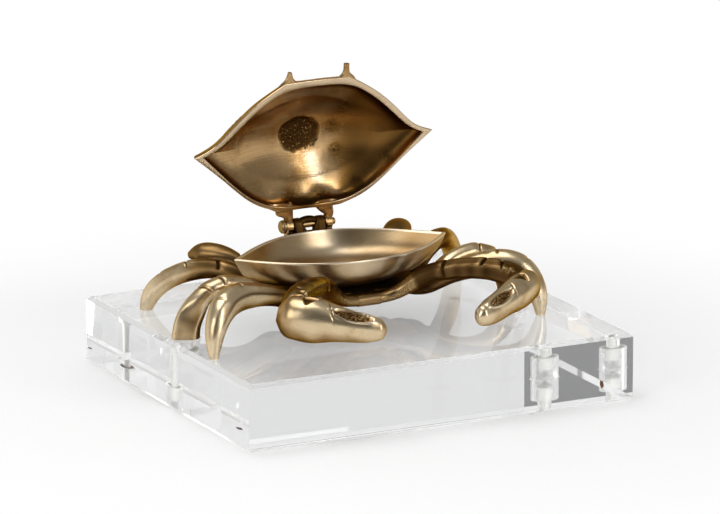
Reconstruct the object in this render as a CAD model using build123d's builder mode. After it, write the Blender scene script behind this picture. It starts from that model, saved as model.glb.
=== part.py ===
# Crab box on a clear block: cast brass body, hinged shell lid, screwed to an acrylic base
import os
from build123d import *

os.makedirs("parts", exist_ok=True)

# Clear base
base_length = 153.0
base_depth = 135.0
base_height = 25.0
base_chamfer = 1.4

# Crab placing: its mirror plane stands a little left of the middle of the base
mid_x = -3.3

# How far a cutting body stands out past the face that it opens
cut_over = 0.5

# Screws up through the base into the second pair of legs
foot_x = 65.7
foot_y = -1.0
screw_radius = 2.4
screw_clearance = 0.05
screw_reach = 6.5
screw_head_radius = 4.4
screw_head_height = 4.6
slot_width = 1.2
slot_depth = 1.4
neck_radius = 2.75
counterbore_radius = 5.5
counterbore_depth = 8.0

# Belly plate: a flat casting with one facet for each limb, outlined from front to rear
plate_bottom_z = 32.4
plate_top_z = 36.6
plate_edge = 0.8
nose_round = 1.9
plate_outline = [
    (4.5, -17.2),
    (4.5, -10.8),
    (16.0, -10.6),
    (25.6, -4.6),
    (28.0, 4.4),
    (24.2, 12.6),
    (17.0, 18.4),
]

# Bowl: almond outline of the rim, measured from the mirror plane
rim_z = 49.5
tip_x = 42.7
tip_y = 6.7
bowl_front = [(28.0, -7.2), (0.0, -16.0), (-28.0, -7.2)]
bowl_rear = [(24.5, 22.2), (10.5, 29.0), (-10.5, 29.0), (-24.5, 22.2)]
bowl_centre_y = 9.0
bowl_wall = 1.7
bowl_levels = [(0.0, 0.42), (0.1, 0.64), (0.33, 0.84), (0.65, 0.945), (1.0, 1.0)]

# Hinge
hinge_y = 33.5
hinge_z = 51.3
open_angle = 82.0
pin_radius = 1.3
pin_end = 10.9
pin_head_radius = 2.5
pin_head_height = 1.6
pin_head_round = 1.2
pin_end_chamfer = 0.3
eye_radius = 2.7
ear_inner = 3.5
ear_thickness = 2.7
lug_thickness = 2.8
side_gap = 0.3
fixed_clearance = 0.02
running_clearance = 0.05
pad_half_width = 10.0
pad_rear_y = 31.2
pad_front_y = 20.0
pad_top_z = 48.2
pad_low_z = 42.5
ear_root_y = 29.9
ear_root_z = 45.0
ear_root_radius = 1.0
stop_gap = 0.08
heel_length = 5.9
heel_rear_y = 34.6

# Shell lid, drawn as if shut and measured from the hinge line
rim_drop = 1.5
lid_tip = (48.2, -31.6)
lid_side = [(41.2, -34.6), (33.8, -41.2), (23.4, -50.1)]
lid_front_corner = (13.0, -56.4)
lid_front_mid_y = -56.7
lid_back = [(34.8, -20.5), (20.8, -9.8)]
lid_back_corner = (12.0, -6.8)
lid_centre_y = -31.0
lid_rise = 15.5
lid_wall = 2.2
lid_levels = [(0.0, 1.0), (0.22, 0.965), (0.47, 0.86), (0.72, 0.67), (0.9, 0.44), (1.0, 0.16)]
lug_length = 11.5
lug_straight = 3.8
lug_flare = 3.4
lug_rise = 1.3
spine_x = 11.4
spine_base_y = -55.0
spine_tips = {-1: -60.4, 1: -61.4}
spine_lift = 1.5
spine_radius = 1.9
spine_point = 0.6

# Limbs: stations of outward distance, depth, height, half width and half height
# The first station of each lies on its facet of the belly plate
root_z = 34.5
front_leg = [
    (20.8, -7.6, root_z, 3.7, 2.0),
    (24.4, -10.8, 35.0, 3.7, 2.4),
    (33.0, -13.2, 38.8, 3.9, 3.4),
    (43.5, -16.2, 42.0, 4.3, 4.3),
    (53.0, -20.6, 43.2, 4.8, 5.3),
    (59.8, -25.0, 41.2, 4.7, 5.1),
    (63.8, -28.2, 36.2, 3.9, 4.1),
    (65.4, -29.8, 30.4, 2.9, 3.0),
    (65.7, -30.4, 24.0, 1.4, 1.4),
]
blade_leg = [
    (26.8, -0.1, root_z, 3.5, 2.0),
    (31.0, -1.2, 35.0, 3.4, 2.4),
    (38.0, -1.4, 39.2, 3.5, 3.2),
    (45.0, -0.8, 42.0, 3.6, 3.4),
    (52.0, -0.6, 42.4, 3.8, 3.5),
    (58.4, -0.7, 39.8, 4.0, 4.1),
    (62.8, -0.9, 34.6, 4.1, 4.6),
    (65.2, -1.0, 29.4, 4.2, 5.0),
    (66.0, -1.0, 24.0, 4.3, 5.3),
]
rear_leg = [
    (26.1, 8.5, root_z, 3.5, 2.0),
    (29.6, 10.2, 35.0, 3.3, 2.4),
    (36.0, 13.6, 40.0, 3.5, 3.3),
    (43.4, 19.4, 43.0, 3.8, 3.6),
    (50.8, 27.6, 41.2, 3.9, 3.8),
    (56.8, 35.0, 36.4, 3.7, 3.6),
    (60.3, 39.6, 30.4, 3.3, 3.2),
    (61.8, 41.4, 24.0, 2.0, 2.0),
]
paddle_leg = [
    (20.6, 15.5, root_z, 3.4, 2.0),
    (22.6, 18.2, 35.0, 3.1, 2.3),
    (26.0, 23.0, 39.0, 2.7, 2.5),
    (29.4, 27.4, 41.6, 2.4, 2.3),
    (33.2, 31.4, 43.6, 3.6, 3.0),
    (37.8, 36.2, 44.2, 4.7, 3.7),
    (41.6, 39.8, 43.6, 3.9, 3.1),
    (43.8, 41.9, 42.8, 1.4, 1.2),
]
claw_arm = [
    (4.5, -14.0, root_z, 3.1, 2.0),
    (10.4, -14.9, 35.6, 3.1, 2.4),
    (15.8, -17.8, 39.2, 3.4, 3.0),
    (20.4, -21.4, 42.8, 3.7, 3.4),
    (26.5, -27.4, 45.4, 3.9, 3.6),
    (33.6, -33.6, 46.6, 4.1, 3.8),
    (39.8, -39.2, 46.2, 4.3, 4.1),
    (44.6, -44.0, 44.2, 4.2, 4.2),
    (46.4, -47.0, 41.8, 3.2, 3.4),
]
claw_hand = [
    (51.0, -45.0, 42.9, 2.2, 2.8),
    (49.3, -46.2, 42.5, 5.0, 5.9),
    (45.8, -48.8, 41.7, 6.8, 7.8),
    (41.0, -51.9, 40.9, 7.0, 8.2),
    (35.5, -55.4, 40.1, 6.1, 7.0),
    (29.3, -59.4, 39.4, 4.8, 5.5),
    (23.0, -63.2, 38.9, 3.1, 3.7),
    (18.6, -65.5, 38.7, 1.1, 1.3),
]
# The cast legs spread unevenly: how far these reach out from their roots, against their stations
uneven_reach = {"left_front_leg": 1.07, "right_front_leg": 0.92, "right_rear_leg": 1.08}
front_notches = [5]
blade_notches = [4, 5]
rear_notches = [3, 4, 5]
paddle_notches = [3]
arm_notches = [4, 6]
notch_depth = 0.7
notch_width = 0.9
notch_margin = 2.0

# Sunk rough patch between the fingers of each claw
gape_stations = [4, 6]
gape_half_width = 2.3
gape_depth = 1.8
gape_cut = 5.4
gape_lean = 0.85


def export(piece, name):
    """Label one piece and write it under its own name."""
    piece.label = name
    export_step(piece, f"parts/{name}.step")


def both_sides(points):
    """Right-hand points followed by their mirror images, in one turn round."""
    return points + [(-x, y) for x, y in reversed(points)]


def bowl_body(bottom, top, grow):
    """Solid between two heights whose level sections are shrunken copies of the rim."""
    with BuildPart() as body:
        for share, scale in bowl_levels:
            stretch = scale + grow / tip_x

            def place(x, y):
                return (stretch * x, bowl_centre_y + stretch * (y - bowl_centre_y))

            ends = place(tip_x, tip_y), place(-tip_x, tip_y)
            with BuildSketch(Plane((mid_x, 0, bottom + share * (top - bottom)))):
                with BuildLine():
                    Spline(ends[0], *[place(*p) for p in bowl_front], ends[1])
                    Spline(ends[0], *[place(*p) for p in bowl_rear], ends[1])
                make_face()
        loft()
    return body.part


def lid_body(bottom, top, grow):
    """Domed solid over the lid's outline, in the frame of the shut lid."""
    with BuildPart() as body:
        for share, scale in lid_levels:
            stretch = scale + grow / lid_tip[0]

            def place(x, y):
                return (stretch * x, lid_centre_y + stretch * (y - lid_centre_y))

            def flip(point):
                return (-point[0], point[1])

            front = [place(*p) for p in [lid_tip] + lid_side + [lid_front_corner]]
            back = [place(*p) for p in [lid_tip] + lid_back + [lid_back_corner]]
            with BuildSketch(lid_plane.offset(bottom + share * (top - bottom))):
                with BuildLine():
                    Spline(*front)
                    ThreePointArc(front[-1], place(0, lid_front_mid_y), flip(front[-1]))
                    Spline(*[flip(p) for p in front])
                    Spline(*back)
                    Line(back[-1], flip(back[-1]))
                    Spline(*[flip(p) for p in back])
                make_face()
        loft()
    return body.part


def station_plane(stations, index, side):
    """Plane square to the limb's path at one station, its x across the whole limb."""
    before = stations[max(index - 1, 0)]
    after = stations[min(index + 1, len(stations) - 1)]
    root, tip = stations[0], stations[-1]
    path = Vector(side * (after[0] - before[0]), after[1] - before[1], after[2] - before[2]).normalized()
    level = Vector(root[1] - tip[1], side * (tip[0] - root[0]), 0).normalized()
    across = level - path * level.dot(path)
    x, y, z = stations[index][:3]
    return Plane((mid_x + side * x, y, z), x_dir=across, z_dir=path)


def facet_plane(stations, facet, side):
    """Upright plane of one facet of the belly plate, at the limb's root."""
    (x1, y1), (x2, y2) = plate_outline[facet], plate_outline[facet + 1]
    outward = Vector(side * (y2 - y1), x1 - x2, 0)
    x, y, z = stations[0][:3]
    return Plane((mid_x + side * x, y, z), x_dir=Vector(0, 0, 1).cross(outward), z_dir=outward)


def spread(stations, reach):
    """Stations of a limb whose outward reach from its root is stretched."""
    root = stations[0][0]
    return [(root + reach * (station[0] - root), *station[1:]) for station in stations]


def limb(stations, notches, side, facet=None):
    """Smooth limb through its stations, with nicks over the top at the joints."""
    planes = [station_plane(stations, index, side) for index in range(len(stations))]
    if facet is not None:
        planes[0] = facet_plane(stations, facet, side)
    with BuildPart() as body:
        for plane, station in zip(planes, stations):
            with BuildSketch(plane):
                Ellipse(station[3], station[4])
        loft()
        for index in notches:
            half_width, half_height = stations[index][3:]
            with BuildSketch(planes[index]):
                Ellipse(half_width + notch_margin, half_height + notch_margin)
                with Locations((0, -notch_depth)):
                    Ellipse(half_width, half_height, mode=Mode.SUBTRACT)
            extrude(amount=notch_width / 2, both=True, mode=Mode.SUBTRACT)
    return body.part


# The clear block, with two stepped holes for the screws
foot_places = [(mid_x - foot_x, foot_y), (mid_x + foot_x, foot_y)]
with BuildPart() as acrylic_base:
    with BuildSketch():
        Rectangle(base_length, base_depth)
    extrude(amount=base_height)
    chamfer(acrylic_base.edges().filter_by(Axis.Z, reverse=True), base_chamfer)
    with BuildSketch():
        with Locations(*foot_places):
            Circle(neck_radius)
    extrude(amount=base_height, mode=Mode.SUBTRACT)
    with BuildSketch():
        with Locations(*foot_places):
            Circle(counterbore_radius)
    extrude(amount=counterbore_depth, mode=Mode.SUBTRACT)
export(acrylic_base.part, "acrylic_base")

# Slotted screws, their heads up inside the stepped holes
head_z = counterbore_depth - screw_head_height
with BuildPart() as mounting_screws:
    with BuildSketch(Plane.XY.offset(head_z)):
        with Locations(*foot_places):
            Circle(screw_head_radius)
    extrude(amount=screw_head_height)
    with BuildSketch(Plane.XY.offset(counterbore_depth)):
        with Locations(*foot_places):
            Circle(screw_radius)
    extrude(amount=base_height + screw_reach - counterbore_depth)
    with BuildSketch(Plane.XY.offset(head_z)):
        with Locations(*foot_places):
            Rectangle(2 * screw_head_radius, slot_width)
    extrude(amount=slot_depth, mode=Mode.SUBTRACT)
export(mounting_screws.part, "mounting_screws")

# The belly plate
with BuildPart() as belly_plate:
    with BuildSketch(Plane((mid_x, 0, plate_bottom_z))):
        with BuildLine():
            Polyline(*both_sides(plate_outline), close=True)
        make_face()
    extrude(amount=plate_top_z - plate_bottom_z)
    under_edges = belly_plate.faces().sort_by(Axis.Z)[0].edges()
    nose_root_y = plate_outline[1][1]
    chamfer(under_edges.filter_by(lambda edge: edge.center().Y > nose_root_y), plate_edge)
    fillet(belly_plate.edges().filter_by(Axis.X).group_by(Axis.Y)[0], nose_round)
export(belly_plate.part, "belly_plate")

# The bowl: an even wall between two lofted almonds, seated flat on the plate
outside = bowl_body(plate_top_z, rim_z, 0.0)
inside = bowl_body(plate_top_z + bowl_wall, rim_z + cut_over, -bowl_wall)
with BuildPart() as bowl:
    add(outside)
    add(inside, mode=Mode.SUBTRACT)
export(bowl.part, "bowl")

# Limbs, each brazed by its flat root to a facet of the plate
legs = (
    ("front_leg", front_leg, front_notches, 2),
    ("blade_leg", blade_leg, blade_notches, 3),
    ("rear_leg", rear_leg, rear_notches, 4),
    ("paddle_leg", paddle_leg, paddle_notches, 5),
)
for side, side_name in ((-1, "left"), (1, "right")):
    for leg_name, stations, notches, facet in legs:
        name = f"{side_name}_{leg_name}"
        with BuildPart() as leg:
            add(limb(spread(stations, uneven_reach.get(name, 1.0)), notches, side, facet))
            split(bisect_by=Plane.XY.offset(base_height), keep=Keep.TOP)
            if leg_name == "blade_leg":
                with BuildSketch(Plane((mid_x + side * foot_x, foot_y, base_height))):
                    Circle(screw_radius + screw_clearance)
                extrude(amount=screw_reach + screw_clearance, mode=Mode.SUBTRACT)
        export(leg.part, name)
    with BuildPart() as claw:
        add(limb(claw_arm, arm_notches, side, 0))
        add(limb(claw_hand, [], side))
        first = station_plane(claw_hand, gape_stations[0], side)
        outward = (first.y_dir + gape_lean * side * first.x_dir).normalized()
        start, finish = [
            station_plane(claw_hand, index, side).origin + outward * claw_hand[index][4]
            for index in gape_stations
        ]
        along = finish - start
        floor = (start + finish) * 0.5 - outward * gape_depth
        with BuildSketch(Plane(floor, x_dir=along, z_dir=outward)):
            Ellipse(along.length / 2, gape_half_width)
        extrude(amount=gape_cut, mode=Mode.SUBTRACT)
    export(claw.part, f"{side_name}_claw")

# The hinge bracket: a pad against the bowl's rear wall and two ears with eyes for the pin
ear_outer = ear_inner + ear_thickness
with BuildPart() as hinge_bracket:
    with BuildSketch(Plane((mid_x, 0, pad_low_z))):
        with Locations((0, (pad_front_y + pad_rear_y) / 2)):
            Rectangle(2 * pad_half_width, pad_rear_y - pad_front_y)
    extrude(amount=pad_top_z - pad_low_z)
    for face_x in (-ear_outer, ear_inner):
        with BuildSketch(Plane.YZ.offset(mid_x + face_x)):
            with Locations((hinge_y, hinge_z)):
                Circle(eye_radius)
            with Locations((ear_root_y, ear_root_z)):
                Circle(ear_root_radius)
            make_hull()
        extrude(amount=ear_thickness)
    add(outside, mode=Mode.SUBTRACT)
    with BuildSketch(Plane.YZ.offset(mid_x - ear_outer)):
        with Locations((hinge_y, hinge_z)):
            Circle(pin_radius + fixed_clearance)
    extrude(amount=2 * ear_outer, mode=Mode.SUBTRACT)
export(hinge_bracket.part, "hinge_bracket")

# The pin, with a domed head on the left
lug_inner = ear_outer + side_gap
lug_outer = lug_inner + lug_thickness
with BuildPart() as hinge_pin:
    with BuildSketch(Plane.YZ.offset(mid_x - pin_end)):
        with Locations((hinge_y, hinge_z)):
            Circle(pin_radius)
    extrude(amount=2 * pin_end)
    chamfer(hinge_pin.faces().sort_by(Axis.X)[-1].edges(), pin_end_chamfer)
    with BuildSketch(Plane.YZ.offset(mid_x - lug_outer - side_gap)):
        with Locations((hinge_y, hinge_z)):
            Circle(pin_head_radius)
    extrude(amount=-pin_head_height)
    fillet(hinge_pin.faces().sort_by(Axis.X)[0].edges(), pin_head_round)
export(hinge_pin.part, "hinge_pin")

# The shell lid, standing open on its heels
shut_to_open = Rotation(-open_angle, 0, 0)
lid_plane = Plane(Location((mid_x, hinge_y, hinge_z)) * shut_to_open)
rim_height = -rim_drop
crown_height = lid_rise - rim_drop
hollow = lid_body(rim_height - cut_over, crown_height - lid_wall, -lid_wall)
with BuildPart() as shell_lid:
    add(lid_body(rim_height, crown_height, 0.0))
    with BuildSketch(lid_plane.offset(rim_height)):
        with BuildLine():
            Polyline(
                (lug_inner, 0),
                (lug_outer, 0),
                (lug_outer, -lug_straight),
                (lug_outer + lug_flare, -lug_length),
                (lug_inner - lug_flare, -lug_length),
                (lug_inner, -lug_straight),
                close=True,
            )
        make_face()
        mirror(about=Plane.YZ)
    extrude(amount=lug_rise + rim_drop)
    for face_x in (-lug_outer, lug_inner):
        lug_plane = Plane(lid_plane.location * Location((face_x, 0, 0)) * Plane.YZ.location)
        with BuildSketch(lug_plane):
            Circle(eye_radius)
        extrude(amount=lug_thickness)
        with BuildSketch(Plane.YZ.offset(mid_x + face_x)):
            with Locations(((pad_rear_y + stop_gap + heel_rear_y) / 2, hinge_z - heel_length / 2)):
                Rectangle(heel_rear_y - pad_rear_y - stop_gap, heel_length)
        extrude(amount=lug_thickness)
    for side, spine_tip_y in spine_tips.items():
        for y, radius in ((spine_base_y, spine_radius), (spine_tip_y, spine_point)):
            spine_place = lid_plane.location * Location((side * spine_x, y, rim_height + spine_lift))
            with BuildSketch(Plane(spine_place * Plane.XZ.location)):
                Circle(radius)
        loft()
    add(hollow, mode=Mode.SUBTRACT)
    with BuildSketch(Plane.YZ.offset(mid_x - lug_outer)):
        with Locations((hinge_y, hinge_z)):
            Circle(pin_radius + running_clearance)
    extrude(amount=2 * lug_outer, mode=Mode.SUBTRACT)
export(shell_lid.part, "shell_lid")
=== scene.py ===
# %% [markdown]
# # A brass crab box on a clear block
# The object is a cast crab in satin antique brass. Its shell is the hinged lid of a small
# almond bowl, and two of its legs are screwed down to a polished acrylic block.
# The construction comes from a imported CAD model, which is loaded first and never changed.
# Blender adds what a CAD model leaves out: the hand-worked surface, the brown patina in the
# recesses, the clear block's refraction, and a plain studio around it all.

# %% Load the fixed frame
import math
import bmesh
import bpy
import numpy as np
from mathutils import Matrix, Vector, noise


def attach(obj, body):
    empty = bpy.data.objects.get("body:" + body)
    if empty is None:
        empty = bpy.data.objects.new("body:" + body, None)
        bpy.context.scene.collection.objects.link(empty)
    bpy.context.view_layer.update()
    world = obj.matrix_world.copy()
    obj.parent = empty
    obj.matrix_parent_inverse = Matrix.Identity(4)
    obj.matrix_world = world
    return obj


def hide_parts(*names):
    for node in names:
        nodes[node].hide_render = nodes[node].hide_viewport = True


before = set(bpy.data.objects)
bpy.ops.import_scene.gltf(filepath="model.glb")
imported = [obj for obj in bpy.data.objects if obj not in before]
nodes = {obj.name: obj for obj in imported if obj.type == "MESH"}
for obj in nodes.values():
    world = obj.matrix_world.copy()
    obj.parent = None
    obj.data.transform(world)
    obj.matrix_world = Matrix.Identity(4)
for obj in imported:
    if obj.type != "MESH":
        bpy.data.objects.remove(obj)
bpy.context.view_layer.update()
scene = bpy.context.scene

# %% [markdown]
# ## Camera
# A long lens stands well back and a little above the block, which keeps its edges nearly
# parallel. The camera could be aimed by a constraint. Three plain direction vectors are used
# instead, because they make the place, the aim and the level horizon easy to read.

# %% Camera
def put(name, data):
    """A new object in the scene."""
    made = bpy.data.objects.new(name, data)
    scene.collection.objects.link(made)
    return made


azimuth, elevation = math.radians(-26.93), math.radians(14.84)
camera_distance, slide_right, slide_up = 2.6865, 0.00098, 0.0448
level = math.cos(elevation)
back = Vector((math.sin(azimuth) * level, -math.cos(azimuth) * level, math.sin(elevation)))
right = Vector((math.cos(azimuth), math.sin(azimuth), 0))
up = back.cross(right)
camera = put("studio_camera", bpy.data.cameras.new("studio_camera"))
camera.location = back * camera_distance + right * slide_right + up * slide_up
camera.rotation_mode = "QUATERNION"
camera.rotation_quaternion = Matrix((right, up, back)).transposed().to_quaternion()
camera.data.sensor_width = 36.0
camera.data.lens = 371.0
scene.camera = camera
scene.view_settings.view_transform = "Standard"
print("camera at", [round(x, 3) for x in camera.location])

# %% [markdown]
# ## Shader maths in plain Python
# A finish is a small network of nodes. Drawn by hand in the editor it is quick to try and hard
# to read back, so here a class wraps one output socket and lets Python's own operators add the
# Math nodes. Every other node comes from its one method, `node`.

# %% A wire that can be added, multiplied and mixed
class Wire:
    """One output socket of a node tree, or only the tree where nothing is made yet."""

    def __init__(self, tree, socket=None):
        self.tree = tree
        self.socket = socket

    def node(self, kind, settings=None, inputs=None, output=0):
        made = self.tree.nodes.new("ShaderNode" + kind)
        for name, value in (settings or {}).items():
            setattr(made, name, value)
        self.feed(made, inputs or {})
        return Wire(self.tree, made.outputs[output])

    def feed(self, node, inputs):
        """Give a node's sockets their links or plain values."""
        for name, value in inputs.items():
            if isinstance(value, Wire):
                self.tree.links.new(value.socket, node.inputs[name])
            else:
                node.inputs[name].default_value = value

    def maths(self, operation, *values):
        return self.node("Math", {"operation": operation}, dict(enumerate(values)))

    def __add__(self, other):
        return self.maths("ADD", self, other)

    def __sub__(self, other):
        return self.maths("SUBTRACT", self, other)

    def __rsub__(self, other):
        return self.maths("SUBTRACT", other, self)

    def __mul__(self, other):
        return self.maths("MULTIPLY", self, other)

    __radd__ = __add__
    __rmul__ = __mul__

    def rise(self, low, high):
        """A smooth step from 0 at low to 1 at high."""
        limits = {"Value": self, "From Min": low, "From Max": high}
        return self.node("MapRange", {"interpolation_type": "SMOOTHSTEP"}, limits)

    def capped(self):
        return self.maths("MINIMUM", self, 1.0)

    def stretched(self, *scales):
        return self.node("VectorMath", {"operation": "MULTIPLY"}, {0: self, 1: scales})

    def grain(self, scale, detail=3.0, roughness=0.5):
        """Cloudy noise read at this wire's coordinates."""
        values = {"Vector": self, "Scale": scale, "Detail": detail, "Roughness": roughness}
        return self.node("TexNoise", None, values)

    def mix(self, first, second):
        """Colour from first to second as this wire goes from 0 to 1."""
        return self.node("Mix", {"data_type": "RGBA"}, {0: self, 6: first, 7: second}, 2)

    def bump(self, strength, distance):
        """A normal that leans as if this wire pressed the surface in and out."""
        return self.node("Bump", None, {"Strength": strength, "Distance": distance, "Height": self})


def colour(red, green, blue):
    return (red, green, blue, 1.0)


def new_finish(name):
    """An empty material, a wire to grow it from, and its surface shader."""
    material = bpy.data.materials.new(name)
    material.use_nodes = True
    return material, Wire(material.node_tree), material.node_tree.nodes["Principled BSDF"]


def rays(wire, *kinds):
    """1 for these kinds of ray and 0 for the rest."""
    total = 0.0
    for kind in kinds:
        total = wire.node("LightPath", output=f"Is {kind} Ray") + total
    return total.capped()


print("shader helpers ready")

# %% [markdown]
# ## Floor
# The object stands on a sheet of white paper. The paper has to hold the soft shadow near the
# block and run out to clean white at the edges of the picture. One way is a very bright lamp,
# but that would bleach the brass. Instead the paper fades, away from the block, into a plain
# white glow that only camera, reflection and refraction rays can see. A hair of air stays
# between the paper and the block: without it the block's ground face could not mirror.

# %% Floor
floor_reach = 6.0
floor_mesh = bpy.data.meshes.new("paper_floor")
air_gap = 0.0003
corners = [(x * floor_reach, y * floor_reach, -air_gap) for x, y in ((-1, -1), (1, -1), (1, 1), (-1, 1))]
floor_mesh.from_pydata(corners, [], [(0, 1, 2, 3)])
floor = put("paper_floor", floor_mesh)

paper, wires, paper_shader = new_finish("white_paper")
place = wires.node("TexCoord", output="Object")
distance = wires.node("VectorMath", {"operation": "LENGTH"}, {0: place}, "Value")
fibre = place.grain(900.0)
paper_tint = fibre.mix(colour(0.87, 0.87, 0.87), colour(0.91, 0.91, 0.91))
wires.feed(paper_shader, {"Base Color": paper_tint, "Roughness": 0.9, "Specular IOR Level": 0.1})
far_off = distance.rise(0.10, 0.25) * rays(wires, "Camera", "Glossy", "Transmission")
white, seen_in_block = colour(1, 1, 1), colour(0.73, 0.73, 0.73)
glow = wires.node("Emission", None, {"Color": rays(wires, "Transmission").mix(white, seen_in_block)})
paper_wire = Wire(paper.node_tree, paper_shader.outputs[0])
sheet = wires.node("MixShader", None, {0: far_off, 1: paper_wire, 2: glow})
wires.feed(paper.node_tree.nodes["Material Output"], {"Surface": sheet})
floor_mesh.materials.append(paper)
print("floor reaches", floor_reach, "m each way")

# %% [markdown]
# ## Light
# Polished metal shows the room more than its own colour, so the room is half of the finish.
# A tall strip at the front on the right draws the pale band inside the lid and the bowl, and
# two broad boxes light the tops. Behind the object the room is white, and on the camera's side
# it is dim, which gives satin brass its deep brown faces. Seen through the block, the room is
# an even pale grey, but for a dark card that the block mirrors in its right-hand end.

# %% Room
room = bpy.data.worlds.new("studio_room")
scene.world = room
room.use_nodes = True
air = Wire(room.node_tree)
toward = air.node("TexCoord", output="Generated")
depth = air.node("SeparateXYZ", None, {0: toward}, "Y")
height = air.node("SeparateXYZ", None, {0: toward}, "Z")


def pointing(*way):
    """How nearly a direction points this way, from -1 to 1."""
    aim = Vector(way).normalized()
    return air.node("VectorMath", {"operation": "DOT_PRODUCT"}, {0: toward, 1: aim}, "Value")


card = pointing(-0.44, 0.86, 0.12).rise(0.955, 0.985)
camera_side = pointing(-0.40, -0.90, 0.10).rise(0.45, 0.95)
white_wall = depth.rise(-0.1, 0.45) * (1.0 - height.rise(0.15, 0.6))
mirrored_room = 0.32 + white_wall * 0.6 - camera_side * 0.26
room_through_block = 0.76 - card * 0.51
seen_through = rays(air, "Transmission")
seen_mirrored = rays(air, "Glossy") * (1.0 - seen_through)
seen_plain = rays(air, "Camera")
fill_light = 0.54
others = 1.0 - rays(air, "Camera", "Glossy", "Transmission")
strength = seen_through * room_through_block + seen_mirrored * mirrored_room
strength = strength + seen_plain + others * fill_light
air.feed(room.node_tree.nodes["Background"], {"Color": white, "Strength": strength})


def soft_box(name, spot, size, watts, aim=(0.0, 0.0, 0.045)):
    """A rectangular lamp at a spot, turned to face its aim."""
    lamp = bpy.data.lights.new(name, "AREA")
    lamp.shape = "RECTANGLE"
    lamp.size, lamp.size_y = size
    lamp.energy = watts
    box = put(name, lamp)
    box.location = spot
    box.rotation_mode = "QUATERNION"
    box.rotation_quaternion = (Vector(spot) - Vector(aim)).to_track_quat("Z", "Y")
    return box


lamps = [
    soft_box("overhead_box", (-0.16, 0.02, 0.95), (0.8, 0.55), 4.0),
    soft_box("left_box", (-0.85, -0.45, 0.42), (0.5, 0.6), 2.7),
    soft_box("front_strip", (0.48, -1.20, 0.62), (0.24, 1.2), 5.0, (0.0, 0.0, 0.62)),
]
print("lamps:", [lamp.name for lamp in lamps])

# %% [markdown]
# ## Clear block
# The base is a polished acrylic block. Its look is almost all refraction: looking in through
# the front, the ground face acts as a mirror and shows the screw holes a second time, upside
# down. Acrylic bends light less than glass, with an index of 1.49. The drilled walls of the
# holes are frosted, which a mask of the distance from each hole's middle line gives. Shadow
# rays pass nearly straight through, because a clear block throws only a faint shadow. A ray can
# mirror many times inside the block, and Blender paints one that runs out of bounces black. So
# the limits are raised, and a ray that is still inside takes the pale grey of the room.

# %% Clear block
most_bounces = 16
lost_after = 8.0
scene.cycles.max_bounces = most_bounces
scene.cycles.glossy_bounces = most_bounces
scene.cycles.transmission_bounces = most_bounces
hole_middles = [(-0.069, -0.001, 0.0), (0.0624, -0.001, 0.0)]
hole_reach, frost_fade = 0.0059, 0.0002
clear, wires, clear_shader = new_finish("clear_acrylic")
place = wires.node("TexCoord", output="Object")
in_plan = place.stretched(1.0, 1.0, 0.0)
frosted = 0.0
for middle in hole_middles:
    away = wires.node("VectorMath", {"operation": "DISTANCE"}, {0: in_plan, 1: middle}, "Value")
    frosted = (1.0 - away.rise(hole_reach, hole_reach + frost_fade)) + frosted
drill_marks = place.stretched(200.0, 200.0, 2600.0).grain(1.0)
haze = place.grain(35.0).rise(0.5, 0.8) * 0.02
ripple = place.grain(22.0, 1.0) + frosted * drill_marks * 0.6
wires.feed(clear_shader, {
    "Base Color": colour(0.955, 0.96, 0.96),
    "Roughness": frosted.capped() * (0.2 + drill_marks * 0.2) + haze,
    "Normal": ripple.bump(0.02, 0.0004),
    "Transmission Weight": 1.0,
    "IOR": 1.49,
})
see_through = wires.node("BsdfTransparent")
clear_wire = Wire(clear.node_tree, clear_shader.outputs[0])
light_let_through = rays(wires, "Shadow") * 0.92
block = wires.node("MixShader", None, {0: light_let_through, 1: clear_wire, 2: see_through})
# Painted glow: a ray still inside after eight bounces ends on pale grey light given off by the block.
lost = wires.node("LightPath", output="Ray Depth").rise(lost_after - 1.0, lost_after)
painted_room_glow = wires.node("Emission", None, {"Color": colour(0.75, 0.75, 0.74), "Strength": 1.0})
block = wires.node("MixShader", None, {0: lost, 1: block, 2: painted_room_glow})
wires.feed(clear.node_tree.nodes["Material Output"], {"Surface": block})


def paint(node_name, material):
    """Give a CAD node this finish in place of its packed one."""
    mesh = nodes[node_name].data
    mesh.materials.clear()
    mesh.materials.append(material)


paint("acrylic_base", clear)

# %% [markdown]
# ## Nylon screws
# Two natural nylon screws hold the crab down. Nylon is milky: light sinks in a little and
# comes out soft, and a moulded surface has a faint mottle. A true volume would be slow, so a
# small amount of subsurface scattering stands for it.

# %% Nylon screws
nylon, wires, nylon_shader = new_finish("natural_nylon")
place = wires.node("TexCoord", output="Object")
mottle = place.grain(420.0)
wires.feed(nylon_shader, {
    "Base Color": mottle.mix(colour(0.80, 0.80, 0.76), colour(0.90, 0.90, 0.87)),
    "Roughness": 0.4 + mottle * 0.15,
    "Normal": place.grain(1500.0).bump(0.15, 0.0002),
    "Subsurface Weight": 0.2,
    "Subsurface Radius": (0.002, 0.002, 0.002),
})
paint("mounting_screws", nylon)
print("nylon screws painted")

# %% [markdown]
# ## Antique brass
# Antique brass is cast, darkened with a brown patina, then rubbed back: the patina stays in
# nicks and roots, the high places shine. The shader reads two values that the meshes below
# carry at each point. The first runs from -1 in a hollow to 1 on a rubbed edge, and it also
# holds painted light: lower values for painted shade on undersides, at roots, on the claw
# arms and in the hinge gap, higher values for painted highlights inside the lid and the bowl.
# The second, `brushed`, is the way that the abrasive ran. Noise alone could not know where
# the recesses are.

# %% Brass finish
mm = 0.001
pale_brass = colour(0.80, 0.68, 0.50)
dark_patina = colour(0.052, 0.025, 0.007)
warm_edge = colour(0.56, 0.37, 0.16)


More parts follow.
